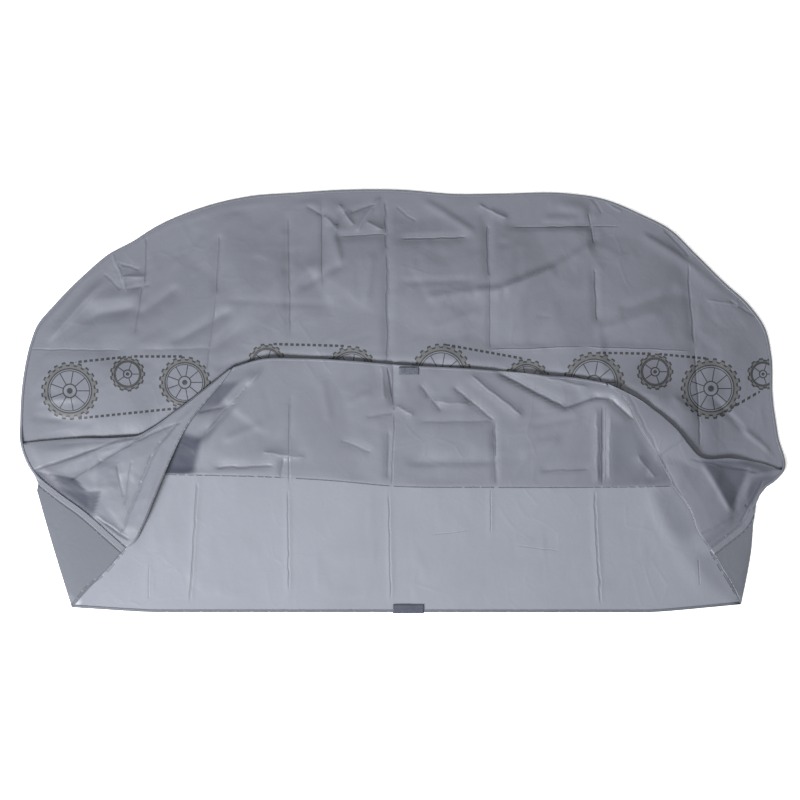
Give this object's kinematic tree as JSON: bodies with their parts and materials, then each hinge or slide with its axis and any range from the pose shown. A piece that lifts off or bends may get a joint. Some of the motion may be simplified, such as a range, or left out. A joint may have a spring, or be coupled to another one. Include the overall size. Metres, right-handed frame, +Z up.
{
  "type": "bicycle cover",
  "caption": "Thin film bag that covers a parked bicycle, laid flat on the floor with its front turned up at the mouth and its bottom corners squashed flat.",
  "frame": {"origin": "bottom centre of the cover's box, on the floor it lies on", "axes": "+X along the cover's length, +Y from the open mouth to the crown of the arc, +Z up off the floor"},
  "size_m": [2.0038, 1.1133, 0.0395],
  "materials": {
    "coated_film": "satin coated film, blue-grey",
    "binding_film": "satin coated film tape, blue-grey",
    "tab_film": "matte woven tape, dark blue-grey"
  },
  "bodies": {
    "root": {"front_panel": "coated_film", "back_panel": "coated_film", "seam_binding": "binding_film", "front_hem_tab": "tab_film", "back_hem_tab": "tab_film"}
  },
  "joints": []
}
